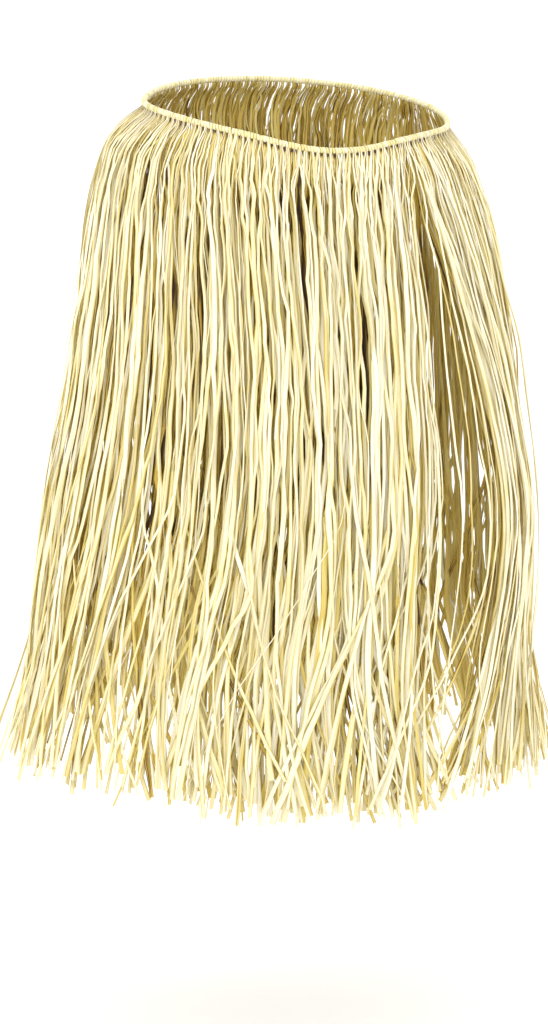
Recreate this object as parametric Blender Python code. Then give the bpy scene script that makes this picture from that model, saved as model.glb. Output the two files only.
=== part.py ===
"""A raffia grass skirt in its worn form: a waist cord and twelve knotted panels of hanging strands.

Run with: blender --background --python part.py
Metres, +Z up. The front of the skirt faces -Y and the wearer's left is +X.
The origin is the middle of the waist cord, which sits lower at the front than at the back.
"""

import math
from collections import namedtuple

import bmesh
import bpy
from mathutils import Matrix, Vector

MM = 0.001

# Waist: an oval of cord, tipped forward and raised a little over the wearer's right hip
WAIST_HALF_WIDTH = 184 * MM
WAIST_HALF_DEPTH = 125 * MM
WAIST_PITCH = math.radians(14.4)
WAIST_ROLL = math.radians(2.6)

# Cord and knots
PANELS = 12
KNOTS_PER_PANEL = 11
INNER_LOCKS_PER_PANEL = 9
KNOTS = PANELS * KNOTS_PER_PANEL
CORD_RADIUS = 2.7 * MM
KNOT_RADIUS = 3.4 * MM
CORD_SIDES = 6
SEAM_GAP = 0.3 * MM

# Heading: the narrow strip of knots under the cord that each panel's locks grow out of
HEADING_HEIGHT = 4.0 * MM
HEADING_THICKNESS = 4.4 * MM
HEADING_TOP = KNOT_RADIUS + SEAM_GAP
HEADING_FOOT = HEADING_TOP + HEADING_HEIGHT
ROOT_DEPTH = 2.0 * MM

# Strands
STRAND_LENGTH = 768 * MM
LENGTH_SPREAD = 20 * MM

# The parting at the wearer's front left. The strands beside it are pushed towards the hip to open it,
# the nearest ones most, up to those at the end of its reach.
PARTING_TURN = math.radians(34)
PARTING_REACH = math.radians(150)

# Outline of the hanging strands, each row a level below the cord.
# The shifts are how far the oval has moved to +X and +Y, and gap is how wide the parting stands open.
Section = namedtuple("Section", "drop half_width half_depth shift_x shift_y gap")
SECTIONS = (
    Section(drop=0.000, half_width=0.184, half_depth=0.125, shift_x=0.000, shift_y=0.000, gap=0.000),
    Section(drop=0.008, half_width=0.186, half_depth=0.127, shift_x=0.000, shift_y=0.000, gap=0.000),
    Section(drop=0.022, half_width=0.201, half_depth=0.141, shift_x=-0.003, shift_y=0.003, gap=0.003),
    Section(drop=0.050, half_width=0.224, half_depth=0.158, shift_x=-0.006, shift_y=0.006, gap=0.009),
    Section(drop=0.120, half_width=0.246, half_depth=0.172, shift_x=-0.004, shift_y=0.005, gap=0.024),
    Section(drop=0.220, half_width=0.263, half_depth=0.184, shift_x=-0.001, shift_y=0.003, gap=0.048),
    Section(drop=0.330, half_width=0.281, half_depth=0.196, shift_x=-0.001, shift_y=0.003, gap=0.080),
    Section(drop=0.440, half_width=0.299, half_depth=0.208, shift_x=-0.003, shift_y=0.007, gap=0.098),
    Section(drop=0.520, half_width=0.306, half_depth=0.214, shift_x=-0.007, shift_y=0.010, gap=0.092),
    Section(drop=0.620, half_width=0.310, half_depth=0.220, shift_x=-0.014, shift_y=0.013, gap=0.070),
    Section(drop=0.700, half_width=0.319, half_depth=0.227, shift_x=-0.014, shift_y=0.013, gap=0.048),
    Section(drop=0.790, half_width=0.333, half_depth=0.236, shift_x=-0.012, shift_y=0.012, gap=0.030),
)

# The layers that the strands of each knot fall into, the outermost first.
# The inset is from the outline, and the lean is how far the foot of a lock swings sideways.
Layer = namedtuple("Layer", "inset lean waves start_deg")
OUTER_LAYERS = (
    Layer(inset=1.5 * MM, lean=26 * MM, waves=3, start_deg=20),
    Layer(inset=7.5 * MM, lean=-24 * MM, waves=3, start_deg=75),
    Layer(inset=13.5 * MM, lean=26 * MM, waves=2, start_deg=150),
)
INNER_LAYERS = (
    Layer(inset=19.8 * MM, lean=-20 * MM, waves=2, start_deg=200),
    Layer(inset=25.8 * MM, lean=16 * MM, waves=3, start_deg=10),
)
LAYERS_PART_BY = 120 * MM
LEAN_STARTS = 300 * MM

# A lock's width at each level; it is a folded ribbon, so its section is a flat diamond
Station = namedtuple("Station", "drop width thickness")
OUTER_STATIONS = (
    Station(drop=HEADING_FOOT - ROOT_DEPTH, width=4.6 * MM, thickness=1.5 * MM),
    Station(drop=0.022, width=5.6 * MM, thickness=1.8 * MM),
    Station(drop=0.050, width=7.0 * MM, thickness=2.2 * MM),
    Station(drop=0.140, width=8.6 * MM, thickness=2.6 * MM),
    Station(drop=0.320, width=9.6 * MM, thickness=2.6 * MM),
    Station(drop=0.500, width=9.8 * MM, thickness=2.4 * MM),
    Station(drop=STRAND_LENGTH, width=8.0 * MM, thickness=2.0 * MM),
)
INNER_STATIONS = (
    Station(drop=HEADING_FOOT - ROOT_DEPTH, width=5.0 * MM, thickness=1.4 * MM),
    Station(drop=0.050, width=7.6 * MM, thickness=2.0 * MM),
    Station(drop=0.140, width=10.0 * MM, thickness=2.4 * MM),
    Station(drop=0.500, width=11.0 * MM, thickness=2.4 * MM),
    Station(drop=STRAND_LENGTH, width=9.0 * MM, thickness=2.0 * MM),
)
# Across a lock and through it, the corners of its section as parts of the half sizes
OUTER_CORNERS = ((1, 0), (0, 1), (-1, 0), (0, -1))
INNER_CORNERS = ((1, -0.6), (0, 1), (-1, -0.6))
OUTER_ROOT_OFFSET = 1.0 * MM
INNER_ROOT_OFFSET = -1.1 * MM

# How each lock bends and turns on its way down, out of step with its neighbours
WANDER = 3.0 * MM
WANDER_LENGTH = 450 * MM
TWIST = math.radians(11)
TWIST_LENGTH = 600 * MM
GOLDEN = (math.sqrt(5) - 1) / 2

RAFFIA_STRAND = ("raffia_strand", (0.86, 0.78, 0.47), 0.55)
RAFFIA_CORD = ("raffia_cord", (0.88, 0.80, 0.52), 0.60)


def clear_scene():
    for obj in list(bpy.data.objects):
        bpy.data.objects.remove(obj)


def plain_material(name, colour, roughness):
    material = bpy.data.materials.new(name)
    material.use_nodes = True
    shader = material.node_tree.nodes["Principled BSDF"]
    shader.inputs["Base Color"].default_value = (*colour, 1.0)
    shader.inputs["Roughness"].default_value = roughness
    shader.inputs["Metallic"].default_value = 0.0
    return material


def ease(t):
    """A smooth step from 0 to 1."""
    t = min(1.0, max(0.0, t))
    return t * t * (3 - 2 * t)


def section_at(drop):
    """The outline's sizes at this level, on smooth curves through the table's rows."""
    last = len(SECTIONS) - 1
    low = max(i for i in range(last) if SECTIONS[i].drop <= max(drop, 0.0))
    before, start, end, after = (SECTIONS[min(max(low + k, 0), last)] for k in (-1, 0, 1, 2))
    span = end.drop - start.drop
    t = min(1.0, max(0.0, (drop - start.drop) / span))
    values = []
    for field in range(1, len(start)):
        slope_in = (end[field] - before[field]) / (end.drop - before.drop)
        slope_out = (after[field] - start[field]) / (after.drop - start.drop)
        values.append(
            start[field] * (2 * t**3 - 3 * t**2 + 1)
            + end[field] * (3 * t**2 - 2 * t**3)
            + span * (slope_in * (t**3 - 2 * t**2 + t) + slope_out * (t**3 - t**2))
        )
    return Section(drop, *values)


def waist_point(turn):
    """A point on the cord's centre line. A turn of 0 is the front and a quarter turn the wearer's left."""
    x = WAIST_HALF_WIDTH * math.sin(turn)
    y = -WAIST_HALF_DEPTH * math.cos(turn)
    return Vector((x, y, y * math.tan(WAIST_PITCH) - x * math.tan(WAIST_ROLL)))


def even_turns(count, steps=4000):
    """The turns of count points spaced evenly along the cord, starting at the parting."""
    turns = [PARTING_TURN + math.tau * i / steps for i in range(steps + 1)]
    along = [0.0]
    for start, end in zip(turns, turns[1:]):
        along.append(along[-1] + (waist_point(end) - waist_point(start)).length)
    found = []
    i = 0
    for k in range(count):
        target = along[-1] * k / count
        while along[i + 1] <= target:
            i += 1
        part = (target - along[i]) / (along[i + 1] - along[i])
        found.append(turns[i] + part * (turns[i + 1] - turns[i]))
    return found


def axes_at(turn, half_width, half_depth):
    """The level directions along the oval and straight out of it."""
    along = Vector((half_width * math.cos(turn), half_depth * math.sin(turn), 0)).normalized()
    return along, Vector((along.y, -along.x, 0))


def fallen_turn(turn, half_width):
    """The turn that a strand has come to where the outline is this wide.

    In front and behind it drops straight down, and towards the hips it is carried out with them.
    """
    straight = WAIST_HALF_WIDTH / half_width
    aside = math.sin(turn) * (straight + (1 - straight) * math.sin(turn) ** 2)
    ahead = math.copysign(math.sqrt(1 - aside**2), math.cos(turn))
    return turn + math.remainder(math.atan2(aside, ahead) - turn, math.tau)


def skirt_point(turn, drop, inset, sideways):
    """A point in the hanging strands, with the directions along the skirt and out of it there."""
    size = section_at(drop)
    fallen = fallen_turn(turn, size.half_width)
    step = math.hypot(size.half_width * math.cos(fallen), size.half_depth * math.sin(fallen))
    past_parting = math.remainder(turn - PARTING_TURN, math.tau) / PARTING_REACH
    push = size.gap * (1 - past_parting) ** 2 if 0 < past_parting < 1 else 0.0
    moved = fallen + (sideways + push) / step
    along, out = axes_at(moved, size.half_width, size.half_depth)
    point = Vector(
        (
            size.shift_x + size.half_width * math.sin(moved),
            size.shift_y - size.half_depth * math.cos(moved),
            waist_point(turn).z - drop,
        )
    )
    return point - out * inset, along, out


def lock_rings(turn, number, layer, stations, corners, root_offset):
    """The section rings of one lock, from its root in the heading to its cut tip."""
    chance = (number * GOLDEN) % 1.0
    length = STRAND_LENGTH + LENGTH_SPREAD * (2 * chance - 1)
    rings = []
    for station in stations:
        is_tip = station is stations[-1]
        drop = length if is_tip else station.drop
        parted = ease((drop - HEADING_FOOT) / LAYERS_PART_BY)
        swing = ease((drop - LEAN_STARTS) / (STRAND_LENGTH - LEAN_STARTS))
        wander = WANDER * math.sin(math.tau * (drop / WANDER_LENGTH + chance)) * parted
        lean = layer.lean * math.sin(layer.waves * turn + math.radians(layer.start_deg)) * swing
        inset = layer.inset * parted - root_offset * (1 - parted)
        centre, along, out = skirt_point(turn, drop, inset, wander + lean)
        twist = TWIST * math.sin(math.tau * (drop / TWIST_LENGTH + chance)) * parted
        turned = Matrix.Rotation(twist, 3, "Z")
        across = turned @ along * (station.width / 2)
        through = turned @ out * (station.thickness / 2)
        rings.append([centre + across * w + through * t for w, t in corners])
    return rings


def add_tube(mesh, rings, closed=False):
    """Adds a tube through the rings to a bmesh, with flat ends unless it closes on itself.

    Each ring turns counter-clockwise about the tube's direction, so that every face looks outwards.
    A side is split along the diagonal that lies farther out, so that a thin tube keeps its thickness
    where it twists.
    """
    rows = [[mesh.verts.new(point) for point in ring] for ring in rings]
    pairs = list(zip(rows, rows[1:]))
    if closed:
        pairs.append((rows[-1], rows[0]))
    for start, end in pairs:
        centre = sum((vert.co for vert in start + end), Vector()) / (2 * len(start))
        for i in range(len(start)):
            a, b, c, d = start[i], start[(i + 1) % len(start)], end[(i + 1) % len(start)], end[i]
            if ((a.co + c.co) / 2 - centre).length > ((b.co + d.co) / 2 - centre).length:
                mesh.faces.new((a, b, c))
                mesh.faces.new((a, c, d))
            else:
                mesh.faces.new((a, b, d))
                mesh.faces.new((b, c, d))
    if not closed:
        mesh.faces.new(rows[0][::-1])
        mesh.faces.new(rows[-1])


def object_from(mesh, name, material):
    data = bpy.data.meshes.new(name)
    mesh.to_mesh(data)
    mesh.free()
    data.materials.append(material)
    obj = bpy.data.objects.new(name, data)
    bpy.context.scene.collection.objects.link(obj)
    return obj


def make_waist_cord(material):
    """The cord that the strands are knotted over, with a raised ring of raffia at every knot."""
    mesh = bmesh.new()
    rings = []
    for i, turn in enumerate(even_turns(2 * KNOTS)):
        radius = KNOT_RADIUS if i % 2 else CORD_RADIUS
        out = axes_at(turn, WAIST_HALF_WIDTH, WAIST_HALF_DEPTH)[1]
        down = Vector((0, 0, -1))
        angles = [math.tau * (side + 0.5) / CORD_SIDES for side in range(CORD_SIDES)]
        rings.append([waist_point(turn) + radius * (math.cos(a) * out + math.sin(a) * down) for a in angles])
    add_tube(mesh, rings, closed=True)
    cord = object_from(mesh, "waist_cord", material)
    cord.data.shade_smooth()
    return cord


def make_heading(name, turns, material):
    """The strip of knots under the cord, along one panel."""
    mesh = bmesh.new()
    rings = []
    for turn in turns:
        centre = waist_point(turn)
        out = axes_at(turn, WAIST_HALF_WIDTH, WAIST_HALF_DEPTH)[1]
        corners = ((1, HEADING_TOP), (1, HEADING_FOOT), (-1, HEADING_FOOT), (-1, HEADING_TOP))
        rings.append(
            [centre + out * (side * HEADING_THICKNESS / 2) - Vector((0, 0, drop)) for side, drop in corners]
        )
    add_tube(mesh, rings)
    return object_from(mesh, name, material)


def make_locks(name, panel, knot_turns, inner_turns, material):
    """All the hanging locks of one panel, standing apart from each other."""
    mesh = bmesh.new()
    for i in range(KNOTS_PER_PANEL):
        number = panel * KNOTS_PER_PANEL + i
        layer = OUTER_LAYERS[number % len(OUTER_LAYERS)]
        turn = knot_turns[2 * number + 1]
        add_tube(mesh, lock_rings(turn, number, layer, OUTER_STATIONS, OUTER_CORNERS, OUTER_ROOT_OFFSET))
    for i in range(INNER_LOCKS_PER_PANEL):
        number = panel * INNER_LOCKS_PER_PANEL + i
        layer = INNER_LAYERS[number % len(INNER_LAYERS)]
        turn = inner_turns[2 * number + 1]
        add_tube(mesh, lock_rings(turn, number, layer, INNER_STATIONS, INNER_CORNERS, INNER_ROOT_OFFSET))
    locks = object_from(mesh, name, material)
    locks.hide_render = True
    locks.display_type = "WIRE"
    return locks


def make_panel(panel, knot_turns, inner_turns, material):
    """One panel: its heading with the locks' roots fused into it."""
    first = 2 * panel * KNOTS_PER_PANEL
    turns = [knot_turns[(first + 2 * i) % len(knot_turns)] for i in range(KNOTS_PER_PANEL + 1)]
    if turns[-1] < turns[0]:
        turns[-1] += math.tau
    end_gap = SEAM_GAP / 2 / WAIST_HALF_DEPTH
    turns[0] += end_gap
    turns[-1] -= end_gap
    heading = make_heading(f"fringe_{panel + 1:02d}", turns, material)
    locks = make_locks(f"locks_{panel + 1:02d}", panel, knot_turns, inner_turns, material)
    union = heading.modifiers.new("fuse roots", "BOOLEAN")
    union.operation = "UNION"
    union.object = locks
    return heading


def main():
    clear_scene()
    strand = plain_material(*RAFFIA_STRAND)
    cord = plain_material(*RAFFIA_CORD)
    make_waist_cord(cord)
    knot_turns = even_turns(2 * KNOTS)
    inner_turns = even_turns(2 * PANELS * INNER_LOCKS_PER_PANEL)
    for panel in range(PANELS):
        make_panel(panel, knot_turns, inner_turns, strand)


main()
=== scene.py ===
# %% [markdown]
# # A raffia grass skirt, strand by strand
#
# The skirt is a thin cord round the waist with a row of knots on it. Eight strips of split raffia leaf hang
# from each knot, so the whole garment is one cord and about 1,050 ribbons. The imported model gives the
# frame: its cord and its twelve panels of locks say where everything goes, and here each panel is made
# again from single strands.

# %% Load the frame
import math
from collections import namedtuple

import bpy
import numpy as np
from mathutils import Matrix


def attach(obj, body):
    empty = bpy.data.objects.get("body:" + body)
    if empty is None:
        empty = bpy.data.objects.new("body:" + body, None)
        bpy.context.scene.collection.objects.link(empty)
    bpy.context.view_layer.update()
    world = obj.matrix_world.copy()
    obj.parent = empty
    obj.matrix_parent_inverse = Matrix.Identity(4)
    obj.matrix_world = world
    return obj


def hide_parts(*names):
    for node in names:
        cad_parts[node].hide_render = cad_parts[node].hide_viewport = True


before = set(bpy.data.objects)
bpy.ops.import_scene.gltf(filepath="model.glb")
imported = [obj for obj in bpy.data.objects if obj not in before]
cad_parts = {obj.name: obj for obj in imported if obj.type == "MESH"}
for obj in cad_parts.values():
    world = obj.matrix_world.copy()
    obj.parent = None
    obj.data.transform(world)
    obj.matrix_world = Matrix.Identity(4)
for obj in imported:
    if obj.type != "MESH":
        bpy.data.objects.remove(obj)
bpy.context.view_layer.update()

MM = 0.001
panel_names = sorted(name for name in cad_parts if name.startswith("fringe_"))

# %% [markdown]
# ## The camera
#
# The photograph was taken from a few metres away with a long lens, a little above the waist and from
# the wearer's right of the front. A long lens keeps the near and the far side of the hem alike in size.
# Distances are measured from the middle of the waist cord, which is the frame's origin.

# %% Place the camera
CAMERA_AZIMUTH = math.radians(-15.9)
CAMERA_DISTANCE = 5.141
CAMERA_HEIGHT = 0.351
CAMERA_HEADING = math.radians(-15.6)
CAMERA_TILT_DOWN = math.radians(9.2)
CAMERA_LENS_MM = 151.7

camera = bpy.data.objects.new("camera", bpy.data.cameras.new("camera"))
camera.location = (
    CAMERA_DISTANCE * math.sin(CAMERA_AZIMUTH),
    -CAMERA_DISTANCE * math.cos(CAMERA_AZIMUTH),
    CAMERA_HEIGHT,
)
camera.rotation_euler = (math.pi / 2 - CAMERA_TILT_DOWN, 0, CAMERA_HEADING)
camera.data.lens = CAMERA_LENS_MM
camera.data.clip_end = 100
bpy.context.scene.collection.objects.link(camera)
bpy.context.scene.camera = camera
print("Camera at", [round(v, 2) for v in camera.location])

# %% [markdown]
# ## Colours and nodes
#
# Colours are picked as sRGB hex values, which is how a paint chart or a screen gives them. Shaders
# reckon in linear light, so one function turns the hex into linear numbers. A second small function
# adds a node to a tree together with its settings and the links that feed it.

# %% Colour and node helpers
def linear(hex_colour):
    """An sRGB hex colour as linear red, green, blue and alpha."""
    parts = [int(hex_colour[i : i + 2], 16) / 255 for i in (1, 3, 5)]
    return tuple(p / 12.92 if p <= 0.04045 else ((p + 0.055) / 1.055) ** 2.4 for p in parts) + (1.0,)


def add_node(tree, kind, settings=(), links=()):
    """Adds a node. A setting goes to the input of that name or number, or else to the node's property."""
    node = tree.nodes.new(kind)
    for name, value in dict(settings).items():
        if isinstance(name, int) or name in node.inputs:
            node.inputs[name].default_value = value
        else:
            setattr(node, name, value)
    for name, output in dict(links).items():
        tree.links.new(output, node.inputs[name])
    return node


def new_material(name):
    """An empty material, ready for its nodes."""
    material = bpy.data.materials.new(name)
    material.use_nodes = True
    material.node_tree.nodes.clear()
    return material


print("Cream in linear light:", np.round(linear("#EDE3B2"), 3).tolist())

# %% [markdown]
# ## Floor and light
#
# The picture is a studio cut-out: white all round and lit softly from the front. A pale floor that runs
# out of the picture, a white sky and three large lamps give that. The key lamp stands to the upper left,
# so that the strands cast soft shadows on each other. The front lamp near the camera keeps the deeper
# layers in golden light, and a weak fill lamp does the same from the right.

# %% Floor, sky and lamps
FLOOR_HEIGHT = -1.10
FLOOR_RADIUS = 40.0
SKY_STRENGTH = 1.30
LAMP_AIM = (0.0, 0.0, -0.4)

floor_material = new_material("matt_white_paper_floor")
tree = floor_material.node_tree
fleck = add_node(tree, "ShaderNodeTexNoise", {"Scale": 3.0, "Detail": 2.0})
paper = add_node(
    tree,
    "ShaderNodeMix",
    {"data_type": "RGBA", 6: linear("#F9F9F8"), 7: linear("#FDFDFC")},
    {0: fleck.outputs["Fac"]},
)
shader = add_node(tree, "ShaderNodeBsdfPrincipled", {"Roughness": 0.9}, {"Base Color": paper.outputs[2]})
add_node(tree, "ShaderNodeOutputMaterial", links={"Surface": shader.outputs["BSDF"]})

bpy.ops.mesh.primitive_circle_add(
    vertices=96, radius=FLOOR_RADIUS, fill_type="NGON", location=(0, 0, FLOOR_HEIGHT)
)
floor = bpy.context.object
floor.name = "floor"
floor.data.materials.append(floor_material)

world = bpy.data.worlds.new("white_studio")
world.use_nodes = True
sky = world.node_tree.nodes["Background"]
sky.inputs["Color"].default_value = (1.0, 1.0, 1.0, 1.0)
sky.inputs["Strength"].default_value = SKY_STRENGTH
bpy.context.scene.world = world
bpy.context.scene.view_settings.view_transform = "Standard"

Lamp = namedtuple("Lamp", "name place_m size_m power_w")
LAMPS = (
    Lamp("key_lamp", (-3.6, -3.2, 2.0), 1.0, 38),
    Lamp("front_lamp", (-1.2, -5.2, 0.9), 1.6, 5),
    Lamp("fill_lamp", (3.2, -3.4, 0.6), 2.0, 2),
)
for lamp in LAMPS:
    light = bpy.data.lights.new(lamp.name, "AREA")
    light.size = lamp.size_m
    light.energy = lamp.power_w
    holder = bpy.data.objects.new(lamp.name, light)
    holder.location = lamp.place_m
    aim = np.array(LAMP_AIM) - np.array(lamp.place_m)
    holder.rotation_euler = (math.acos(-aim[2] / np.linalg.norm(aim)), 0, math.atan2(-aim[0], aim[1]))
    bpy.context.scene.collection.objects.link(holder)
print("Lamps:", [lamp.name for lamp in LAMPS])

# %% [markdown]
# ## Dried raffia leaf
#
# Raffia is the dried skin of a palm leaf, split by hand into ribbons. It is a cream to straw coloured
# fibre with a satin face: a dielectric of IOR 1.5 with a roughness near 0.5. Its veins run lengthwise,
# about 0.5 mm apart, and are drawn 1.1 mm apart here so that they show in the picture. Each leaf has a
# tone of its own with blotches in it. Its folded edges are darker than the face: partly the browner edge
# of the leaf, partly painted shade that makes the strand look rounded.
#
# The strands carry three values at every point for this: their place on the leaf in millimetres, their
# tone with painted shade added to it, and how near the edge is. Veins and blotches are noises that are
# stretched along the leaf. The third number of a place differs from leaf to leaf, so that no two leaves
# show the same noise.

# %% Raffia materials
Streaks = namedtuple("Streaks", "width_mm length_mm leaf_step detail darkening")
VEINS = Streaks(width_mm=1.1, length_mm=70.0, leaf_step=3.7, detail=2.0, darkening=0.55)
BLOTCHES = Streaks(width_mm=12.5, length_mm=45.0, leaf_step=5.3, detail=1.0, darkening=0.35)
# Darker towards the edges: partly browner leaf edges, partly painted shade
EDGE_DARKENING = 0.40
VEIN_HEIGHT = 0.2 * MM
GLOSS_RANGE = (-0.08, 0.10)  # round the roughness, from the dark of the veins to their light
# The last stop is the darkest colour, the painted shade behind the slits and holes
RAMP_STOPS = (0.10, 0.34, 0.60, 0.90, 1.00)


def streak_noise(tree, place, streaks):
    """A noise on the leaf, stretched to streaks of this width and length."""
    scale = (1 / streaks.width_mm, 1 / streaks.length_mm, streaks.leaf_step)
    stretched = add_node(
        tree,
        "ShaderNodeVectorMath",
        {"operation": "MULTIPLY", 1: scale},
        {0: place.outputs["Vector"]},
    )
    return add_node(
        tree,
        "ShaderNodeTexNoise",
        {"Scale": 1.0, "Detail": streaks.detail},
        {"Vector": stretched.outputs["Vector"]},
    )


def raffia(name, pale, face, straw, ochre, shade, roughness):
    """Dried palm leaf: veins and blotches along the leaf, between a pale and a dark end."""
    material = new_material(name)
    tree = material.node_tree
    place = add_node(tree, "ShaderNodeAttribute", {"attribute_name": "leaf_place"})
    tone = add_node(tree, "ShaderNodeAttribute", {"attribute_name": "leaf_tone_and_shade"})
    edge = add_node(tree, "ShaderNodeAttribute", {"attribute_name": "leaf_edge"})

    veins = streak_noise(tree, place, VEINS)
    blotches = streak_noise(tree, place, BLOTCHES)

    # Add up what makes a spot darker, with the painted shade in the tone, then read the colour from a ramp
    from_veins = add_node(
        tree,
        "ShaderNodeMath",
        {"operation": "MULTIPLY_ADD", 1: VEINS.darkening, 2: -VEINS.darkening / 2},
        {0: veins.outputs["Fac"]},
    )
    from_blotches = add_node(
        tree,
        "ShaderNodeMath",
        {"operation": "MULTIPLY_ADD", 1: BLOTCHES.darkening},
        {0: blotches.outputs["Fac"], 2: from_veins.outputs["Value"]},
    )
    from_edge = add_node(
        tree,
        "ShaderNodeMath",
        {"operation": "MULTIPLY_ADD", 1: EDGE_DARKENING},
        {0: edge.outputs["Fac"], 2: from_blotches.outputs["Value"]},
    )
    darkness = add_node(
        tree,
        "ShaderNodeMath",
        {"operation": "ADD", "use_clamp": True},
        {0: tone.outputs["Fac"], 1: from_edge.outputs["Value"]},
    )
    ramp = add_node(tree, "ShaderNodeValToRGB", links={"Fac": darkness.outputs["Value"]})
    stops = ramp.color_ramp.elements
    stops[0].position, stops[0].color = RAMP_STOPS[0], linear(pale)
    stops[1].position, stops[1].color = RAMP_STOPS[-1], linear(shade)
    for position, colour in zip(RAMP_STOPS[1:-1], (face, straw, ochre)):
        stops.new(position).color = linear(colour)

    gloss = add_node(
        tree,
        "ShaderNodeMapRange",
        {"To Min": roughness + GLOSS_RANGE[0], "To Max": roughness + GLOSS_RANGE[1]},
        {"Value": veins.outputs["Fac"]},
    )
    ridges = add_node(
        tree,
        "ShaderNodeBump",
        {"Strength": 0.35, "Distance": VEIN_HEIGHT},
        {"Height": veins.outputs["Fac"]},
    )
    shader = add_node(
        tree,
        "ShaderNodeBsdfPrincipled",
        {"IOR": 1.5, "Specular IOR Level": 0.45},
        {
            "Base Color": ramp.outputs["Color"],
            "Roughness": gloss.outputs["Result"],
            "Normal": ridges.outputs["Normal"],
        },
    )
    add_node(tree, "ShaderNodeOutputMaterial", links={"Surface": shader.outputs["BSDF"]})
    return material


# The last colour of each, a dark brown, is the painted shade
strand_raffia = raffia("dried_raffia_leaf", "#F7F3E0", "#F0E7C0", "#E2CF79", "#C4A442", "#4C3115", 0.52)
cord_raffia = raffia("twisted_raffia_cord", "#F9F5E4", "#F3EBC8", "#E4D68C", "#BEA24A", "#4C3115", 0.55)
print("Materials:", strand_raffia.name, cord_raffia.name)

# %% [markdown]
# ## How the skirt hangs
#
# The strands leave the waist, go out over the hips and then fall almost straight, flaring a little down
# to the hem. That form is an oval at each level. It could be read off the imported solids, but the table of
# the same few ovals is shorter, and a smooth curve through its rows gives every level between them.
# The gap is how wide the parting stands open there.

# %% The outline's ovals
Oval = namedtuple("Oval", "drop half_width half_depth shift_x shift_y gap")
OVALS = np.array(
    (
        Oval(drop=0.000, half_width=0.184, half_depth=0.125, shift_x=0.000, shift_y=0.000, gap=0.000),
        Oval(drop=0.008, half_width=0.186, half_depth=0.127, shift_x=0.000, shift_y=0.000, gap=0.000),
        Oval(drop=0.022, half_width=0.201, half_depth=0.141, shift_x=-0.003, shift_y=0.003, gap=0.005),
        Oval(drop=0.050, half_width=0.224, half_depth=0.158, shift_x=-0.006, shift_y=0.006, gap=0.014),
        Oval(drop=0.120, half_width=0.246, half_depth=0.172, shift_x=-0.004, shift_y=0.005, gap=0.034),
        Oval(drop=0.220, half_width=0.263, half_depth=0.184, shift_x=-0.001, shift_y=0.003, gap=0.072),
        Oval(drop=0.330, half_width=0.281, half_depth=0.196, shift_x=-0.001, shift_y=0.003, gap=0.113),
        Oval(drop=0.440, half_width=0.299, half_depth=0.208, shift_x=-0.003, shift_y=0.007, gap=0.142),
        Oval(drop=0.520, half_width=0.306, half_depth=0.214, shift_x=-0.007, shift_y=0.010, gap=0.142),
        Oval(drop=0.620, half_width=0.310, half_depth=0.220, shift_x=-0.014, shift_y=0.013, gap=0.120),
        Oval(drop=0.700, half_width=0.319, half_depth=0.227, shift_x=-0.014, shift_y=0.013, gap=0.080),
        Oval(drop=0.790, half_width=0.333, half_depth=0.236, shift_x=-0.012, shift_y=0.012, gap=0.036),
    )
)


def oval_at(drop):
    """The five sizes after the drop at these levels, on smooth curves through the table's rows."""
    last = len(OVALS) - 1
    low = np.clip(np.searchsorted(OVALS[:, 0], drop, side="right") - 1, 0, last - 1)
    before, start, end, after = (OVALS[np.clip(low + k, 0, last)] for k in (-1, 0, 1, 2))
    span = (end - start)[..., :1]
    t = np.clip((drop[..., None] - start[..., :1]) / span, 0, 1)
    slope_in = (end - before)[..., 1:] / (end - before)[..., :1]
    slope_out = (after - start)[..., 1:] / (after - start)[..., :1]
    sizes = (
        start[..., 1:] * (2 * t**3 - 3 * t**2 + 1)
        + end[..., 1:] * (3 * t**2 - 2 * t**3)
        + span * (slope_in * (t**3 - 2 * t**2 + t) + slope_out * (t**3 - t**2))
    )
    return np.moveaxis(sizes, -1, 0)


print("Half width and depth 0.4 m down:", np.round(oval_at(np.array([0.4]))[:2, 0], 3).tolist())

# %% [markdown]
# ## The waist
#
# The cord lies on the hips, lower in front than behind and a little higher at the wearer's right. It
# isn't quite flat: it swells up at both sides of the front and sags a little between them. The knots sit
# on it 7.5 mm apart, counted from the parting at the front left. A turn goes round the waist from the
# front (0) over the wearer's left (90 degrees).

# %% The waist cord's line and the knots on it
WAIST_HALF_WIDTH, WAIST_HALF_DEPTH = OVALS[0, 1:3]
WAIST_PITCH = math.radians(14.4)
WAIST_ROLL = math.radians(2.6)
PARTING_TURN = math.radians(34)
KNOTS = 132
CORD_SAMPLES = 4001
Swell = namedtuple("Swell", "turn_deg reach_deg height")
SWELLS = (
    Swell(turn_deg=-54, reach_deg=60, height=10.0 * MM),
    Swell(turn_deg=0, reach_deg=32, height=-4.5 * MM),
    Swell(turn_deg=44, reach_deg=32, height=5.5 * MM),
)


def ease(t):
    """A smooth step from 0 to 1."""
    t = np.clip(t, 0, 1)
    return t * t * (3 - 2 * t)


def unit(vectors):
    """The same directions with a length of 1."""
    return vectors / np.linalg.norm(vectors, axis=-1, keepdims=True)


def half_turns(turn):
    """The same turns between half a turn back and half a turn on."""
    return np.mod(turn + math.pi, math.tau) - math.pi


def cord_point(turn):
    """Points on the waist cord's centre line."""
    x = WAIST_HALF_WIDTH * np.sin(turn)
    y = -WAIST_HALF_DEPTH * np.cos(turn)
    z = y * math.tan(WAIST_PITCH) - x * math.tan(WAIST_ROLL)
    for swell in SWELLS:
        t = half_turns(turn - math.radians(swell.turn_deg)) / math.radians(swell.reach_deg)
        z = z + swell.height * np.maximum(0, 1 - t * t) ** 2
    return np.stack([x, y, z], axis=-1)


def even_turns(count):
    """The turns of points spaced evenly along the cord from the parting once round, and its length."""
    turns = PARTING_TURN + np.linspace(0, math.tau, CORD_SAMPLES)
    steps = np.linalg.norm(np.diff(cord_point(turns), axis=0), axis=1)
    along = np.concatenate([[0], np.cumsum(steps)])
    return np.interp(along[-1] * np.arange(count) / count, along, turns), along[-1]


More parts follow.
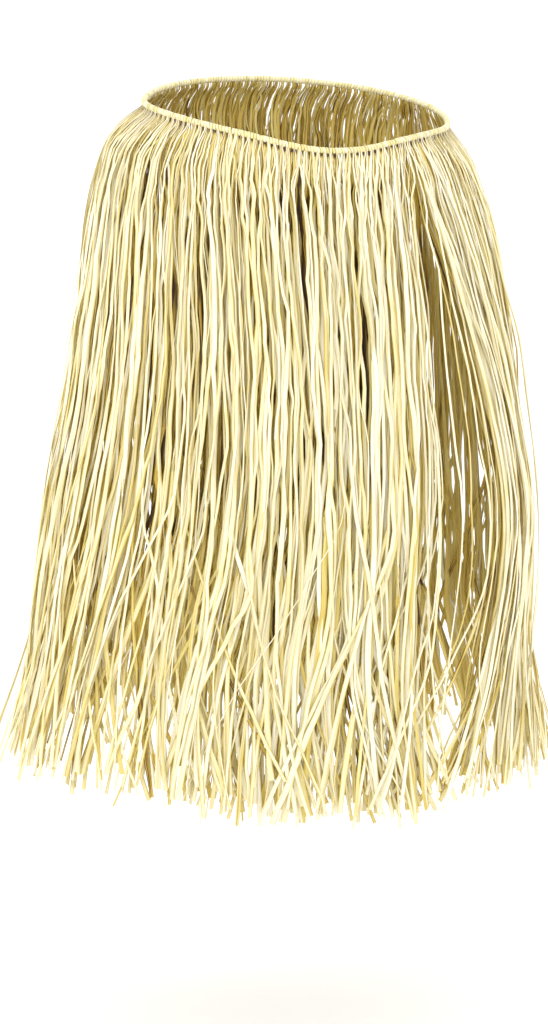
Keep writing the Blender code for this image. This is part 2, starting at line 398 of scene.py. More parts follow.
half_pitch_turns, cord_length = even_turns(2 * KNOTS)
knot_turns = half_pitch_turns[1::2]
knot_turn_steps = np.append(half_pitch_turns[2::2], half_pitch_turns[0] + math.tau) - half_pitch_turns[::2]
print(f"Cord {cord_length:.3f} m round, knots {cord_length / KNOTS / MM:.2f} mm apart")

# %% [markdown]
# ## Straight down in front, outwards at the hips
#
# A strand in front drops straight from its knot, while one at the side is carried out by the hip. So the
# skirt widens at its sides, and the strands in front keep as close together as their knots. To the left
# of the parting they hang straight, and to the right of it they are pushed aside over the hip, the
# nearest ones most.

# %% Where a strand hangs at each level
PARTING_REACH = math.radians(150)


def fallen_turn(turn, half_width):
    """The turns that strands have come to where the outline is this wide."""
    straight = WAIST_HALF_WIDTH / half_width
    aside = np.sin(turn) * (straight + (1 - straight) * np.sin(turn) ** 2)
    return np.arctan2(aside, np.copysign(np.sqrt(1 - aside**2), np.cos(turn)))


def hang(turn, drop, inset, sideways, pushed):
    """Points of hanging strands, with the level directions along the skirt and out of it there."""
    half_width, half_depth, shift_x, shift_y, gap = oval_at(drop)
    fallen = fallen_turn(turn, half_width)
    step = np.hypot(half_width * np.cos(fallen), half_depth * np.sin(fallen))
    past_parting = half_turns(turn - PARTING_TURN) / PARTING_REACH
    push = gap * pushed * np.where((past_parting > 0) & (past_parting < 1), (1 - past_parting) ** 2, 0)
    moved = fallen + (sideways + push) / step
    along = unit(
        np.stack([half_width * np.cos(moved), half_depth * np.sin(moved), np.zeros_like(moved)], axis=-1)
    )
    out = np.stack([along[..., 1], -along[..., 0], along[..., 2]], axis=-1)
    points = np.stack(
        [
            shift_x + half_width * np.sin(moved),
            shift_y - half_depth * np.cos(moved),
            cord_point(turn)[..., 2] - drop,
        ],
        axis=-1,
    )
    return points - out * inset[..., None], along, out


print("A strand at 45 degrees has come to", round(float(np.degrees(fallen_turn(math.pi / 4, 0.33))), 1))

# %% [markdown]
# ## Where each strand goes
#
# Eight strands share a knot. They leave it as one bundle, fan out over the hip until they are spread
# evenly, and lie in layers up to 27 mm deep. Neighbours are given layers far apart by steps of the
# golden ratio, so that strands which lean across each other pass in front or behind, as real ones do.
# One strip in fourteen has split again and is hardly more than a fibre.

# %% One row of numbers for each strand
STRANDS_PER_KNOT = 8
STRANDS = KNOTS * STRANDS_PER_KNOT
STRAND_LENGTH = 768 * MM
LENGTH_SPREAD = 12 * MM
LENGTH_LIMITS = (-0.05, 0.028)
LAYERS_DEPTH = 27 * MM
GOLDEN = (math.sqrt(5) - 1) / 2
BREADTH_LOG = (-0.02, 0.28)  # middle and spread of a breadth's logarithm, where 1 is an ordinary strip
BREADTH_LIMITS = (0.45, 1.35)
FIBRE_SHARE = 1 / 14
FIBRE_BREADTHS = (0.16, 0.30)

rng = np.random.default_rng(41)
number = np.arange(STRANDS)
knot = number // STRANDS_PER_KNOT
share = ((number % STRANDS_PER_KNOT) + 0.5) / STRANDS_PER_KNOT - 0.5
layer = np.mod(number * GOLDEN, 1.0)
length = STRAND_LENGTH + np.clip(rng.normal(0, LENGTH_SPREAD, STRANDS), *LENGTH_LIMITS)
breadth = np.clip(rng.lognormal(*BREADTH_LOG, STRANDS), *BREADTH_LIMITS)
is_fibre = rng.random(STRANDS) < FIBRE_SHARE
breadth[is_fibre] = rng.uniform(*FIBRE_BREADTHS, is_fibre.sum())
strand_turn = knot_turns[knot] + share * knot_turn_steps[knot]
print(f"{STRANDS} strands, {length.min():.3f} to {length.max():.3f} m long")

# %% Stations down a strand, close together where it bends over the hip
station_drop = np.concatenate(
    [
        np.linspace(0.5 * MM, 30 * MM, 9, endpoint=False),
        np.linspace(30 * MM, 110 * MM, 9, endpoint=False),
        np.linspace(110 * MM, STRAND_LENGTH, 33),
    ]
)
drop = station_drop * (1 + (length[:, None] / STRAND_LENGTH - 1) * ease(station_drop / STRAND_LENGTH))
print("Stations on each strand:", drop.shape[1])

# %% [markdown]
# ## Wandering and swinging
#
# A dry leaf isn't straight. Down to half its length it wanders a few millimetres either way between soft
# kinks, which makes neighbours cross at small angles and leaves narrow gaps shaped like a lens, and it is
# finely crinkled all the way. Below that its own stiffness takes over, and it swings off in one long
# slanting line to its cut end. Most lines are steep, and a third of them are strays that lean right
# across their neighbours. Strands side by side also lean alike, because each one rests on the next, and
# at the sides they flare outwards.

# %% Wandering: offsets between kinks, in millimetres, by level
Sway = namedtuple("Sway", "drop along out")
SWAYS = (
    Sway(drop=0.000, along=0.0, out=0.0),
    Sway(drop=0.014, along=1.1, out=0.3),
    Sway(drop=0.028, along=2.0, out=0.6),
    Sway(drop=0.048, along=2.7, out=1.0),
    Sway(drop=0.074, along=2.9, out=1.5),
    Sway(drop=0.106, along=3.1, out=2.0),
    Sway(drop=0.148, along=3.5, out=2.4),
    Sway(drop=0.200, along=4.1, out=2.7),
    Sway(drop=0.265, along=4.8, out=3.0),
    Sway(drop=0.345, along=5.9, out=3.2),
    Sway(drop=0.440, along=6.6, out=3.2),
    Sway(drop=0.560, along=7.4, out=3.0),
    Sway(drop=0.800, along=8.0, out=2.8),
)
SWAY_MEMORY = 0.50  # how much of its last offset a strand keeps at the next kink
SWAY_LIMIT = 2.2
KINK_JITTER = 0.3
CRINKLE_SIZE = 0.45 * MM
CRINKLE_GROWS_BY = 0.06


def remember(pull, memory):
    """Makes each column of random numbers keep part of the one before it, with the same spread."""
    for i in range(1, pull.shape[1]):
        pull[:, i] = memory * pull[:, i - 1] + math.sqrt(1 - memory**2) * pull[:, i]
    return pull


def wander(column):
    """Offsets of all strands at their stations: straight runs between random kinks."""
    levels = np.array([row.drop for row in SWAYS])
    spread = np.array([getattr(row, column) for row in SWAYS]) * MM
    jitter = rng.uniform(-KINK_JITTER, KINK_JITTER, (STRANDS, len(levels))) * np.gradient(levels)
    kinks = levels + jitter * (levels > 0)
    pull = np.clip(remember(rng.normal(0, 1, kinks.shape), SWAY_MEMORY), -SWAY_LIMIT, SWAY_LIMIT)
    return np.array([np.interp(d, k, p * spread) for d, k, p in zip(drop, kinks, pull)])


sideways = wander("along")
depth = wander("out")
crinkle = np.random.default_rng(12).normal(0, CRINKLE_SIZE, drop.shape)
sideways += crinkle * ease(drop / CRINKLE_GROWS_BY)
print("Typical wandering at the hem in mm:", round(float(sideways[:, -1].std() / MM), 1))

# %% Swinging: one long slanting line for each strand
SWING_BEND = 60 * MM
SWING_LEVELS = (0.36, 0.64)
SWING_SLOPE = 0.15
STRAY_SHARE = 0.32
STRAY_SLOPES = (0.18, 0.55)
OUTWARD_LEVELS = (0.46, 0.62)
OUTWARD_SLOPE = 0.03
OUTWARD_LIMITS = (-0.08, 0.04)
FLARE_LEVELS = (0.58, 0.66)
FLARE_SLOPES = (0.05, 0.30)
LEFT_FLARE, RIGHT_FLARE = 0.4, 0.85
SIDE_POWER = 6  # the higher, the closer to the sides the flare is kept


def swing(start, slope):
    """A short bend at the start, and a straight line on from it."""
    below = np.maximum(drop - start[:, None], 0)
    in_bend = below**2 / (2 * SWING_BEND)
    return slope[:, None] * np.where(below < SWING_BEND, in_bend, below - SWING_BEND / 2)


is_stray = rng.random(STRANDS) < STRAY_SHARE
stray_slope = rng.choice([-1, 1], STRANDS) * rng.uniform(*STRAY_SLOPES, STRANDS)
slope = np.where(is_stray, stray_slope, rng.normal(0, SWING_SLOPE, STRANDS))
sideways += swing(rng.uniform(*SWING_LEVELS, STRANDS), slope)

outward_start = rng.uniform(*OUTWARD_LEVELS, STRANDS)
depth += swing(outward_start, np.clip(rng.normal(0.0, OUTWARD_SLOPE, STRANDS), *OUTWARD_LIMITS))
at_side = np.abs(np.sin(strand_turn)) ** SIDE_POWER
at_side *= np.where(np.sin(strand_turn) > 0, LEFT_FLARE, RIGHT_FLARE)
flare_start = rng.uniform(*FLARE_LEVELS, STRANDS)
depth += swing(flare_start, rng.uniform(*FLARE_SLOPES, STRANDS) * at_side)
print("Typical swing at the hem in mm:", round(float(sideways[:, -1].std() / MM), 1))

# %% Common leans
Lean = namedtuple("Lean", "turn_deg hem_mm")
LEANS = (
    Lean(turn_deg=-150, hem_mm=-8),
    Lean(turn_deg=-118, hem_mm=-14),
    Lean(turn_deg=-90, hem_mm=-29),
    Lean(turn_deg=-66, hem_mm=-33),
    Lean(turn_deg=-40, hem_mm=-24),
    Lean(turn_deg=-20, hem_mm=-28),
    Lean(turn_deg=0, hem_mm=-6),
    Lean(turn_deg=22, hem_mm=8),
    Lean(turn_deg=40, hem_mm=-22),
    Lean(turn_deg=60, hem_mm=-2),
    Lean(turn_deg=82, hem_mm=8),
    Lean(turn_deg=112, hem_mm=-8),
    Lean(turn_deg=145, hem_mm=-22),
    Lean(turn_deg=180, hem_mm=16),
)
LEAN_STARTS = 0.36
RIPPLE_SIZE = 8 * MM
RIPPLES_ROUND = 13
RIPPLE_LAYER_STEP = 5.0
lean_turns = np.array([row.turn_deg for row in LEANS])
lean_sizes = np.array([row.hem_mm for row in LEANS]) * MM
common = np.interp(np.degrees(strand_turn), lean_turns, lean_sizes, period=360)
common = common + RIPPLE_SIZE * np.sin(RIPPLES_ROUND * strand_turn + RIPPLE_LAYER_STEP * layer)
sideways += common[:, None] * ease((drop - LEAN_STARTS) / (STRAND_LENGTH - LEAN_STARTS))
print("Strays:", int(is_stray.sum()), "leans:", len(LEANS))

# %% [markdown]
# ## Slits
#
# Narrow slits stay open in the outer layers where two bundles hang apart, and the innermost strands show
# through them with deep shade painted on them. The long ones in front are placed from the photograph, and
# the others and many short ones are spread by chance. An outer strand keeps to its own side of a slit and
# is held just clear of it. An innermost one hangs on behind it, and shade is painted on it there.

# %% Open the slits
Slit = namedtuple("Slit", "turn_deg top bottom half_gap_mm")
FRONT_SLITS = (
    Slit(turn_deg=-71, top=0.010, bottom=0.05, half_gap_mm=1.8),
    Slit(turn_deg=-64.5, top=0.03, bottom=0.14, half_gap_mm=2.4),
    Slit(turn_deg=-56, top=0.30, bottom=0.48, half_gap_mm=1.8),
    Slit(turn_deg=-45, top=0.06, bottom=0.36, half_gap_mm=2.8),
    Slit(turn_deg=-33, top=0.02, bottom=0.12, half_gap_mm=1.8),
    Slit(turn_deg=-28, top=0.05, bottom=0.09, half_gap_mm=1.6),
    Slit(turn_deg=-22, top=0.36, bottom=0.60, half_gap_mm=3.4),
    Slit(turn_deg=-14, top=0.03, bottom=0.12, half_gap_mm=2.0),
    Slit(turn_deg=-10.6, top=0.00, bottom=0.22, half_gap_mm=2.6),
    Slit(turn_deg=-4, top=0.04, bottom=0.08, half_gap_mm=1.7),
    Slit(turn_deg=10, top=0.00, bottom=0.11, half_gap_mm=2.2),
    Slit(turn_deg=11, top=0.14, bottom=0.32, half_gap_mm=3.8),
    Slit(turn_deg=19, top=0.05, bottom=0.12, half_gap_mm=2.4),
    Slit(turn_deg=25, top=0.09, bottom=0.24, half_gap_mm=3.0),
    Slit(turn_deg=30, top=0.30, bottom=0.56, half_gap_mm=3.4),
    Slit(turn_deg=58, top=0.06, bottom=0.24, half_gap_mm=1.8),
)
CHANCE_TURNS = (150, 394)  # in degrees: none where the strands are pushed together
LONG_SLITS = 66
LONG_SLIT_TOPS = (0.02, 0.42)
LONG_SLIT_LENGTHS = (0.06, 0.20)
LONG_SLIT_HALF_GAPS_MM = (0.5, 1.9)
SHORT_SLITS = 320
HIGH_SHARE = 0.35  # the share of short slits that open close under the cord
HIGH_TOPS, LOW_TOPS = (0.025, 0.12), (0.12, 0.60)
SHORT_SLIT_LENGTHS = (0.02, 0.055)
SHORT_SLIT_HALF_GAPS_MM = (0.8, 2.6)

SLIT_CLEARANCE = 2.0 * MM
SLIT_REACH = 60 * MM  # strands farther away than this aren't held
OPENS_OVER, CLOSES_OVER = 0.05, 0.10  # for slits from FULL_LENGTH on, and less for shorter ones
FULL_LENGTH = 0.06
CLOSES_PAST = 0.6  # the part of its closing that lies below a slit's bottom
INNERMOST = 0.62  # the layer from which strands stay behind the slits
SHADE_REACH = 9 * MM
SHADE_EDGE = 5 * MM

slits = list(FRONT_SLITS)
for _ in range(LONG_SLITS):
    top = rng.uniform(*LONG_SLIT_TOPS)
    turn_deg = rng.uniform(*CHANCE_TURNS)
    bottom = top + rng.uniform(*LONG_SLIT_LENGTHS)
    slits.append(Slit(turn_deg, top, bottom, rng.uniform(*LONG_SLIT_HALF_GAPS_MM)))
short_rng = np.random.default_rng(8)
for _ in range(SHORT_SLITS):
    tops = HIGH_TOPS if short_rng.random() < HIGH_SHARE else LOW_TOPS
    top = short_rng.uniform(*tops)
    bottom = top + short_rng.uniform(*SHORT_SLIT_LENGTHS)
    turn_deg = short_rng.uniform(*CHANCE_TURNS)
    slits.append(Slit(turn_deg, top, bottom, short_rng.uniform(*SHORT_SLIT_HALF_GAPS_MM)))

half_width, half_depth = oval_at(drop)[:2]
fallen = fallen_turn(strand_turn[:, None], half_width)
step = np.hypot(half_width * np.cos(fallen), half_depth * np.sin(fallen))
is_outer = (layer < INNERMOST)[:, None]
slit_shade = np.zeros_like(drop)
for slit in slits:
    ramp = min(1.0, (slit.bottom - slit.top) / FULL_LENGTH)
    opening = ease((drop - slit.top) / (OPENS_OVER * ramp))
    opening *= ease((slit.bottom - drop) / (CLOSES_OVER * ramp) + CLOSES_PAST)
    away = half_turns(fallen - fallen_turn(math.radians(slit.turn_deg), half_width)) * step + sideways
    own_side = np.sign((away * opening).sum(axis=1, keepdims=True) + 1e-9)
    clear = (slit.half_gap_mm * MM + SLIT_CLEARANCE) * opening
    held = own_side * np.hypot(np.maximum(own_side * away, 0), clear)
    # Painted shade on the innermost strands behind a slit
    shade = opening * ease((clear + SHADE_REACH - np.abs(away)) / SHADE_EDGE)
    slit_shade = np.maximum(slit_shade, np.where(is_outer, 0, shade))
    near = (np.abs(away) < SLIT_REACH) & (opening > 0) & is_outer
    sideways += np.where(near, held - np.where(own_side * away > 0, away, 0), 0) * opening
print("Slits:", len(slits))

# %% [markdown]
# ## From the knot to the hem
#
# At the knot the strands are squeezed into a bundle about 4 mm across, which leaves a small hole between
# one bundle and the next. The strands of the middle layers stand behind these holes, and deep shade is
# painted on them there, so the holes look dark. Over the next centimetres all spread to their own places,
# and over the hip they part into their layers. A few single strands stay behind in the open parting.

# %% Centre lines of all strands
BUNDLE_HALF_WIDTH = 1.6 * MM
BUNDLE_HALF_DEPTH = 1.6 * MM
BUNDLE_FILL = 0.83  # how far out in its bundle the outermost strand's middle is meant to lie
FAN_STARTS = 3 * MM
FAN_LENGTH = 13 * MM
LAYERS_PART_FROM = 8 * MM
LAYERS_PART_OVER = 80 * MM
MIDDLE_LAYERS = (0.36, 0.64)
# Strands that stay behind in the parting, and how far each is pushed aside: all others are at 1
PARTING_STRANDS = {1: 0.12, 5: 0.30, 9: 0.42, 13: 0.54, 18: 0.65, 22: 0.76, 26: 0.88}
in_parting = list(PARTING_STRANDS)

fanned = ease((drop - FAN_STARTS) / FAN_LENGTH)
own_place = (share * knot_turn_steps[knot])[:, None] * step
in_bundle = (share * 2 * BUNDLE_HALF_WIDTH / BUNDLE_FILL)[:, None]
behind = ((layer > MIDDLE_LAYERS[0]) & (layer < MIDDLE_LAYERS[1]))[:, None]
sideways = sideways * fanned + np.where(behind, 0, in_bundle - own_place) * (1 - fanned)

parted = ease((drop - LAYERS_PART_FROM) / LAYERS_PART_OVER)
bundle_inset = ((layer * 2 - 1) * BUNDLE_HALF_DEPTH)[:, None]
inset = bundle_inset * (1 - parted) + (layer * LAYERS_DEPTH)[:, None] * parted - depth

pushed = np.ones(STRANDS)
pushed[in_parting] = list(PARTING_STRANDS.values())
centre, along, out = hang(strand_turn[:, None] + 0 * drop, drop, inset, sideways, pushed[:, None])
print("Hem lies between", np.round(centre[:, -1, 2].min(), 3), "and", np.round(centre[:, -1, 2].max(), 3))

# %% [markdown]
# ## The section of a folded leaf
#
# A leaf is split to a ribbon and folded lengthwise, so a strand isn't flat: seen from outside it has a
# ridge or two with a valley between them, and thin edges. Eight points go round the section, and all
# heights in it are parts of the leaf's half width. The heights of the three middle points wander down
# the strand, which makes the ridge run from one edge to the other. Where the leaf is rolled up it gets
# narrower and thicker. Some strands turn over once.

# %% Sections down each strand
Width = namedtuple("Width", "drop mm")
WIDTHS = (
    Width(drop=0.000, mm=1.4),
    Width(drop=0.006, mm=1.6),
    Width(drop=0.014, mm=2.2),
    Width(drop=0.030, mm=3.0),
    Width(drop=0.070, mm=4.0),
    Width(drop=0.150, mm=4.9),
    Width(drop=0.300, mm=5.3),
    Width(drop=0.500, mm=5.6),
    Width(drop=0.790, mm=5.6),
)
ACROSS = np.array([-1.0, -0.60, 0.0, 0.60, 1.0, 0.60, 0.0, -0.60])
ROUND = np.array([0.0, 0.16, 0.22, 0.16, 0.0, 0.16, 0.22, 0.16])
THICKNESS = np.array([0.0, 0.0, 0.0, 0.0, 0.0, -0.17, -0.2, -0.17])
CREASED_POINTS = {1: 0, 2: 1, 3: 2, 5: 2, 6: 1, 7: 0}  # which of the three creases moves a point
CREASE_SPREAD = 0.20
CREASE_RISES = (-0.06, 0.10, 0.0)
LEAST_THICKNESS = 0.10
HEIGHT_AT_KNOT = 0.25
FULL_HEIGHT_BY = 0.03
ROLL_MIDDLE, ROLL_SPREAD = 0.35, 0.42
ROLL_NARROWS, ROLL_THICKENS = 0.45, 1.1
SECTION_KINKS = 16
PARTING_BREADTHS = (0.5, 0.75)
BACKING_WIDTH = 1.2 * MM  # strands behind the holes between bundles are this much wider there
BACKING_ENDS = 30 * MM
NOISE_MEMORY = 0.6


def slow_noise(size, kinks):
    """A random line for each strand, from -size to size for most, with this many kinks on it."""
    levels = np.linspace(0, STRAND_LENGTH * 1.04, kinks)
    pull = remember(rng.normal(0, size, (STRANDS, kinks)), NOISE_MEMORY)
    return np.array([np.interp(d, levels, p) for d, p in zip(drop, pull)])


widths = np.interp(drop, [row.drop for row in WIDTHS], [row.mm * MM for row in WIDTHS])
widths = widths + behind * BACKING_WIDTH * (1 - ease(drop / BACKING_ENDS))
rolled = np.clip(ROLL_MIDDLE + slow_noise(ROLL_SPREAD, SECTION_KINKS), 0, 1)
breadth[in_parting] = rng.uniform(*PARTING_BREADTHS, len(in_parting))
half_leaf = widths / 2 * breadth[:, None] * (1 - ROLL_NARROWS * rolled)
crease = np.stack([slow_noise(CREASE_SPREAD, SECTION_KINKS) for _ in range(3)], axis=-1) + CREASE_RISES

heights = np.broadcast_to(ROUND + THICKNESS, drop.shape + ROUND.shape).copy()
for point, which in CREASED_POINTS.items():
    heights[..., point] += crease[..., which]
heights *= (1 + ROLL_THICKENS * rolled)[..., None]
heights *= ease(drop / FULL_HEIGHT_BY)[..., None] * (1 - HEIGHT_AT_KNOT) + HEIGHT_AT_KNOT
heights[..., 5:] = np.minimum(heights[..., 5:], heights[..., 3:0:-1] - LEAST_THICKNESS)
print("Widest strand in mm:", round(float(half_leaf.max() * 2 / MM), 1))

# %% Turning the sections to lie along the strand
TWIST_SPREAD_DEG = 13
TWIST_WANDER_DEG = 12
TWIST_KINKS = 8
TURN_OVER_SHARE = 0.14
TURN_OVER_LEVELS = (0.16, 0.66)
TURN_OVER_LENGTH = 0.07

twist = rng.normal(0, TWIST_SPREAD_DEG, STRANDS)[:, None] + slow_noise(TWIST_WANDER_DEG, TWIST_KINKS)
twist *= parted
turns_over = rng.random(STRANDS) < TURN_OVER_SHARE
flip_level = rng.uniform(*TURN_OVER_LEVELS, STRANDS)[:, None]
flip = 180 * ease((drop - flip_level) / TURN_OVER_LENGTH) * rng.choice([-1, 1], STRANDS)[:, None]
twist = np.radians(twist + np.where(turns_over[:, None], flip, 0))

tangent = unit(np.gradient(centre, axis=1))
side = unit(along - np.sum(along * tangent, axis=-1, keepdims=True) * tangent)
through = np.cross(tangent, side)
cos, sin = np.cos(twist)[..., None], np.sin(twist)[..., None]
side, through = cos * side + sin * through, cos * through - sin * side
rings = (
    centre[:, :, None]
    + side[:, :, None] * (ACROSS * half_leaf[..., None])[..., None]
    + through[:, :, None] * (heights * half_leaf[..., None])[..., None]
)
print("Section points:", rings.shape)

# %% [markdown]
# ## Joined meshes from arrays
#
# 1,056 strands with 51 stations of 8 points are too many for mesh operators, so each panel is one mesh
# that is filled from arrays. A function takes rings of points, joins each ring to the next with quads
# and closes the ends. It also lays every ribbon out flat on its own strip of the bake map, and stores
# the values that the raffia material reads.

# %% A mesh of many ribbons
STRIP_LEFT, STRIP_WIDTH = 0.07, 0.86
STRIP_LOW, STRIP_HEIGHT = 0.03, 0.94
CAP_LEVELS = (0.015, 0.985)
CAP_HALF_WIDTH, CAP_HALF_HEIGHT = 0.3, 0.01
LEAF_PATTERNS = 50  # the range of the third number of a place on the leaf
SHARP_EDGE = math.radians(28)


def ribbon_mesh(name, rings, material, tone, across_mm, edge, closed=False, rows=1):
    """One object of many ribbons. rings is (ribbons, stations, corners, 3).

    tone, across_mm and edge are numbers or arrays that fit rings without its 3. A closed ribbon joins its
    last ring to its first and has no ends. rows is how many ribbons share a column of the bake map.
    """
    ribbons, stations, corners = rings.shape[:3]
    runs = stations if closed else stations - 1
    ring_start = np.arange(ribbons * stations).reshape(ribbons, stations) * corners
    here = ring_start[:, :runs, None] + np.arange(corners)
    below = np.roll(ring_start, -1, axis=1)[:, :runs, None] + np.arange(corners)
    quads = np.stack([here, below, np.roll(below, -1, axis=2), np.roll(here, -1, axis=2)], axis=-1)
    loops, sizes = [quads.ravel()], [np.full(ribbons * runs * corners, 4)]
    if not closed:
        first = ring_start[:, 0, None] + np.arange(corners)
        last = ring_start[:, -1, None] + np.arange(corners)[::-1]
        loops += [first.ravel(), last.ravel()]
        sizes += [np.full(2 * ribbons, corners)]
    loops, sizes = np.concatenate(loops), np.concatenate(sizes)

    data = bpy.data.meshes.new(name)
    data.vertices.add(ribbons * stations * corners)
    data.vertices.foreach_set("co", rings.astype(np.float32).ravel())
    data.loops.add(len(loops))
    data.loops.foreach_set("vertex_index", loops.astype(np.int32))
    data.polygons.add(len(sizes))
    data.polygons.foreach_set("loop_start", np.concatenate([[0], np.cumsum(sizes)[:-1]]).astype(np.int32))
    data.update(calc_edges=True)

    # Each ribbon has a strip of the bake map: its corners go across and its stations up
    columns = math.ceil(ribbons / rows)
    left = (np.arange(ribbons) // rows)[:, None, None]
    low = (np.arange(ribbons) % rows)[:, None, None]
    v_here = (np.arange(runs) / runs * STRIP_HEIGHT + STRIP_LOW)[None, :, None]
    u_here = (np.arange(corners) / corners * STRIP_WIDTH + STRIP_LEFT)[None, None, :]
    u_step, v_step = STRIP_WIDTH / corners, STRIP_HEIGHT / runs
    spots = [(0, 0), (0, v_step), (u_step, v_step), (u_step, 0)]
    faces_uv = [
        np.stack(np.broadcast_arrays((left + u_here + du) / columns, (low + v_here + dv) / rows), axis=-1)
        for du, dv in spots
    ]
    uv = [np.stack(faces_uv, axis=-2).reshape(-1, 2)]
    if not closed:
        angle = np.arange(corners) / corners * math.tau
        for v_end, turned in zip(CAP_LEVELS, (angle, angle[::-1])):
            end_u = 0.5 + CAP_HALF_WIDTH * np.cos(turned)
            end = np.stack([end_u, v_end + CAP_HALF_HEIGHT * np.sin(turned)], axis=-1)
            place = np.stack([left[:, :, 0] + end[:, 0], low[:, :, 0] + end[:, 1]], axis=-1)
            uv.append((place / (columns, rows)).reshape(-1, 2))
    layer_uv = data.uv_layers.new(name="OFBake")
    layer_uv.data.foreach_set("uv", np.concatenate(uv).astype(np.float32).ravel())

    run_length = np.linalg.norm(np.diff(rings.mean(axis=2), axis=1), axis=-1)
    along_mm = np.pad(np.cumsum(run_length, axis=1), ((0, 0), (1, 0))) / MM
    shape = (ribbons, stations, corners)
    place = np.stack(
        [
            np.broadcast_to(across_mm, shape),
            np.broadcast_to(along_mm[..., None], shape),
            np.broadcast_to(rng.uniform(0, LEAF_PATTERNS, ribbons)[:, None, None], shape),
        ],
        axis=-1,
    )
    values = (
        ("leaf_place", "FLOAT_VECTOR", "vector", place),
        ("leaf_tone_and_shade", "FLOAT", "value", np.broadcast_to(tone, shape)),
        ("leaf_edge", "FLOAT", "value", np.broadcast_to(edge, shape)),
    )
    for attribute, kind, field, numbers in values:
        stored = data.attributes.new(attribute, kind, "POINT")
        stored.data.foreach_set(field, np.ascontiguousarray(numbers, dtype=np.float32).ravel())

    data.shade_smooth()
    data.set_sharp_from_angle(angle=SHARP_EDGE)
    data.materials.append(material)
    piece = bpy.data.objects.new(name, data)
    bpy.context.scene.collection.objects.link(piece)
    return piece


# %% [markdown]
# ## Twelve panels of strands
#
# The strands of eleven knots make a panel, which takes the place of that panel's locks in the packed
# model. Tone is how dark a leaf is: most are cream and some are straw, and painted shade is added to it.
# A deeper layer is painted a little darker, as the shade deep in the skirt, and a leaf's underside, which
# faces the inside, is painted darker as shade there. Near the cord the middle layers get painted shade,
# and behind the slits and the holes under the knots painted shade darkens the outer faces.

# %% Build the panels
FRONT_TONE = 0.02
TONE_SPREAD = 0.11
# Painted shade: how much darker the deepest layer is than the outermost
LAYER_SHADE_TONE = 0.29
TONE_LIMITS = (0.0, 0.62)
TONE_WANDER, TONE_KINKS = 0.05, 6
# Painted shade on the undersides, the faces towards the inside of the skirt
UNDERSIDE_SHADE_TONE = 0.25
DARKEST_TONE = 0.70  # of a leaf with its painted shade of layer, top and underside, before the painted shade of slits and holes
# Painted shade behind the slits: how much darker the outer faces of the innermost strands are
SLIT_SHADE_TONE = 0.58
HOLE_HEIGHT = 11 * MM
BEHIND_SHADE_TONE = 0.34  # painted shade that the strands behind the holes have more at the cord
TOP_SHADE_BY_LAYER = 0.05
TOP_SHADE_ENDS = 0.13

# Each leaf's own random tone, with the painted shade of its layer added
leaf_tone_and_shade = FRONT_TONE + TONE_SPREAD * rng.normal(size=STRANDS) + LAYER_SHADE_TONE * layer
leaf_tone_and_shade = np.clip(leaf_tone_and_shade, *TONE_LIMITS)
# Painted shade on the strands behind the holes between the bundles, fading out below HOLE_HEIGHT
hole_shade = behind * (1 - ease(drop / HOLE_HEIGHT))
# Painted shade near the cord: the middle layers darker, the others a little lighter, the outer ones most
top_shade_tone = BEHIND_SHADE_TONE * behind + TOP_SHADE_BY_LAYER * layer[:, None] - TOP_SHADE_BY_LAYER
inner_shade = top_shade_tone * (1 - ease(drop / TOP_SHADE_ENDS))
tone = leaf_tone_and_shade[:, None] + slow_noise(TONE_WANDER, TONE_KINKS) + inner_shade
# Painted shade on the undersides, then a cap on a leaf's darkness before slits and holes
tone = np.minimum(tone[..., None] + UNDERSIDE_SHADE_TONE * (THICKNESS < 0), DARKEST_TONE)
# The painted shade of the holes and the slits goes on the outer faces only
tone = tone + (hole_shade + SLIT_SHADE_TONE * slit_shade)[..., None] * (THICKNESS == 0)
across_mm = ACROSS * half_leaf[..., None] / MM
# How near the edge a point is, for the browner edge and its painted shade
edge = np.abs(ACROSS) ** 8

strands_per_panel = STRANDS // len(panel_names)
for index, node in enumerate(panel_names):
    members = slice(index * strands_per_panel, (index + 1) * strands_per_panel)
    piece = ribbon_mesh(
        f"strands_{index + 1:02d}", rings[members], strand_raffia, tone[members], across_mm[members], edge
    )
    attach(piece, "root")
    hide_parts(node)
print("Panels:", len(panel_names), "with", len(piece.data.polygons), "faces in the last")

# %% [markdown]
# ## The waist cord
#
# The core is a cord of two twisted plies. Over it lie the loops of the knots, two turns of flat raffia
# at every knot, slanting one way like the turns of a spring. Side by side they hide the core almost
# everywhere and give the waist its bumpy upper edge.

# %% Directions on the cord
def cord_frame(turns):
    """Points on the cord at these turns, with the directions along it, out of the skirt and up there."""
    middle = cord_point(turns)
    tangent = unit(np.roll(middle, -1, axis=0) - np.roll(middle, 1, axis=0))
    outwards = -unit(np.cross(np.array([0.0, 0.0, 1.0]), tangent))
    return middle, tangent, outwards, -np.cross(tangent, outwards)


print("The cord's frame starts at", np.round(cord_frame(knot_turns)[0][0], 3).tolist())

# %% Two plies
PLY_RADIUS = 1.25 * MM
PLY_OFFSET = 1.15 * MM
PLY_TURN_LENGTH = 9 * MM
PLY_STATIONS_PER_TURN = 10
PLY_CORNERS = 7
PLY_TONE = 0.30

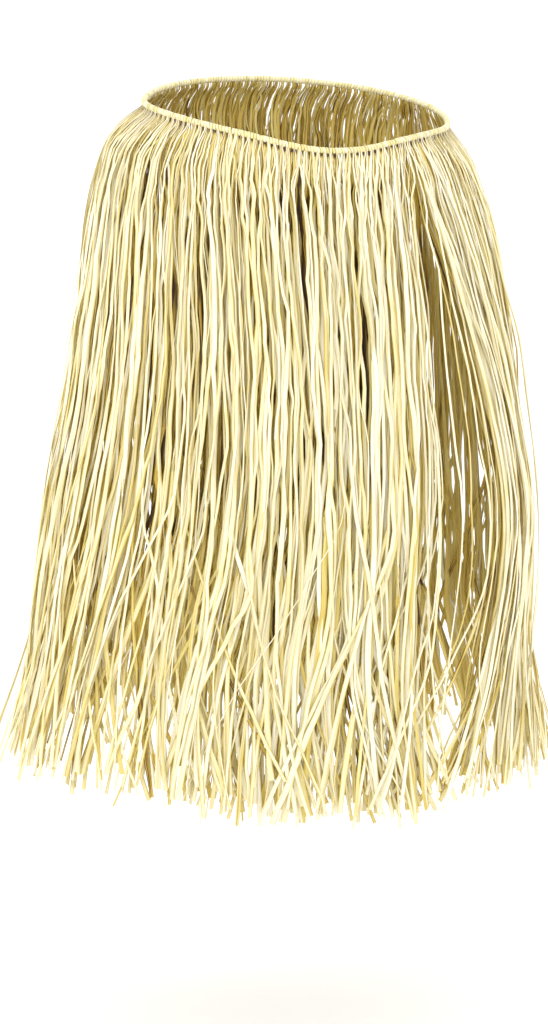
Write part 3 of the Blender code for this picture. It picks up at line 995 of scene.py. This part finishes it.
twists = round(cord_length / PLY_TURN_LENGTH)
ply_turns = even_turns(twists * PLY_STATIONS_PER_TURN)[0]
core, core_tangent, core_out, core_up = cord_frame(ply_turns)
phase = math.tau * np.arange(len(ply_turns)) / PLY_STATIONS_PER_TURN
corner_angle = math.tau * np.arange(PLY_CORNERS) / PLY_CORNERS
ply_section = PLY_RADIUS * (
    np.cos(corner_angle)[None, :, None] * core_out[:, None]
    + np.sin(corner_angle)[None, :, None] * core_up[:, None]
)
ply_rings = []
for start in (0, math.pi):
    angle = (phase + start)[:, None]
    middle = core + PLY_OFFSET * (np.cos(angle) * core_out + np.sin(angle) * core_up)
    ply_rings.append(middle[:, None] + ply_section)
plies = ribbon_mesh(
    "waist_cord_plies",
    np.stack(ply_rings),
    cord_raffia,
    PLY_TONE,
    np.cos(corner_angle) * PLY_RADIUS / MM,
    edge=0.0,
    closed=True,
)
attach(plies, "root")
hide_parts("waist_cord")
print("Twists in the cord:", twists)

# %% The loops of the knots
LOOPS_PER_KNOT = 2
LOOP_STATIONS = 18
LOOP_RADIUS = 3.15 * MM
LOOP_RADIUS_SPREAD_MM = 0.12
LOOP_WIDTH = 3.8 * MM
LOOP_WIDTH_SHARES = (0.85, 1.1)
LOOP_SLANT = math.radians(15)
LOOP_SLANT_SPREAD = 0.08
LOOP_ACROSS = np.array([-1.0, -0.4, 0.4, 1.0, 0.4, -0.4])
LOOP_HEIGHT_MM = np.array([0.0, 0.42, 0.42, 0.0, -0.25, -0.25])
LOOP_TONE, LOOP_TONE_SPREAD = 0.14, 0.08
LOOP_BAKE_ROWS = 12

loop_turns = even_turns(KNOTS * LOOPS_PER_KNOT)[0]
loops = len(loop_turns)
loop_middle, loop_tangent, loop_out, loop_up = cord_frame(loop_turns)
angle = (math.tau * np.arange(LOOP_STATIONS) / LOOP_STATIONS)[None, :, None]
radius = LOOP_RADIUS + rng.normal(0, LOOP_RADIUS_SPREAD_MM, loops)[:, None, None] * MM
slant = np.tan(LOOP_SLANT + rng.normal(0, LOOP_SLANT_SPREAD, loops))[:, None, None]
around = np.cos(angle) * loop_out[:, None] + np.sin(angle) * loop_up[:, None]
path = loop_middle[:, None] + radius * around - slant * radius * np.sin(angle) * loop_tangent[:, None]
loop_half = (LOOP_WIDTH / 2 * rng.uniform(*LOOP_WIDTH_SHARES, loops))[:, None, None, None]
loop_rings = (
    path[:, :, None]
    + loop_tangent[:, None, None] * LOOP_ACROSS[:, None] * loop_half
    + around[:, :, None] * LOOP_HEIGHT_MM[:, None] * MM
)
knots = ribbon_mesh(
    "waist_knots",
    loop_rings[:, ::-1],
    cord_raffia,
    (LOOP_TONE + LOOP_TONE_SPREAD * rng.normal(size=loops))[:, None, None],
    LOOP_ACROSS * LOOP_WIDTH / 2 / MM,
    # The loops' edges darker: partly browner edges, partly painted shade
    edge=LOOP_ACROSS**2,
    closed=True,
    rows=LOOP_BAKE_ROWS,
)
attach(knots, "root")
print("Loops on the cord:", loops)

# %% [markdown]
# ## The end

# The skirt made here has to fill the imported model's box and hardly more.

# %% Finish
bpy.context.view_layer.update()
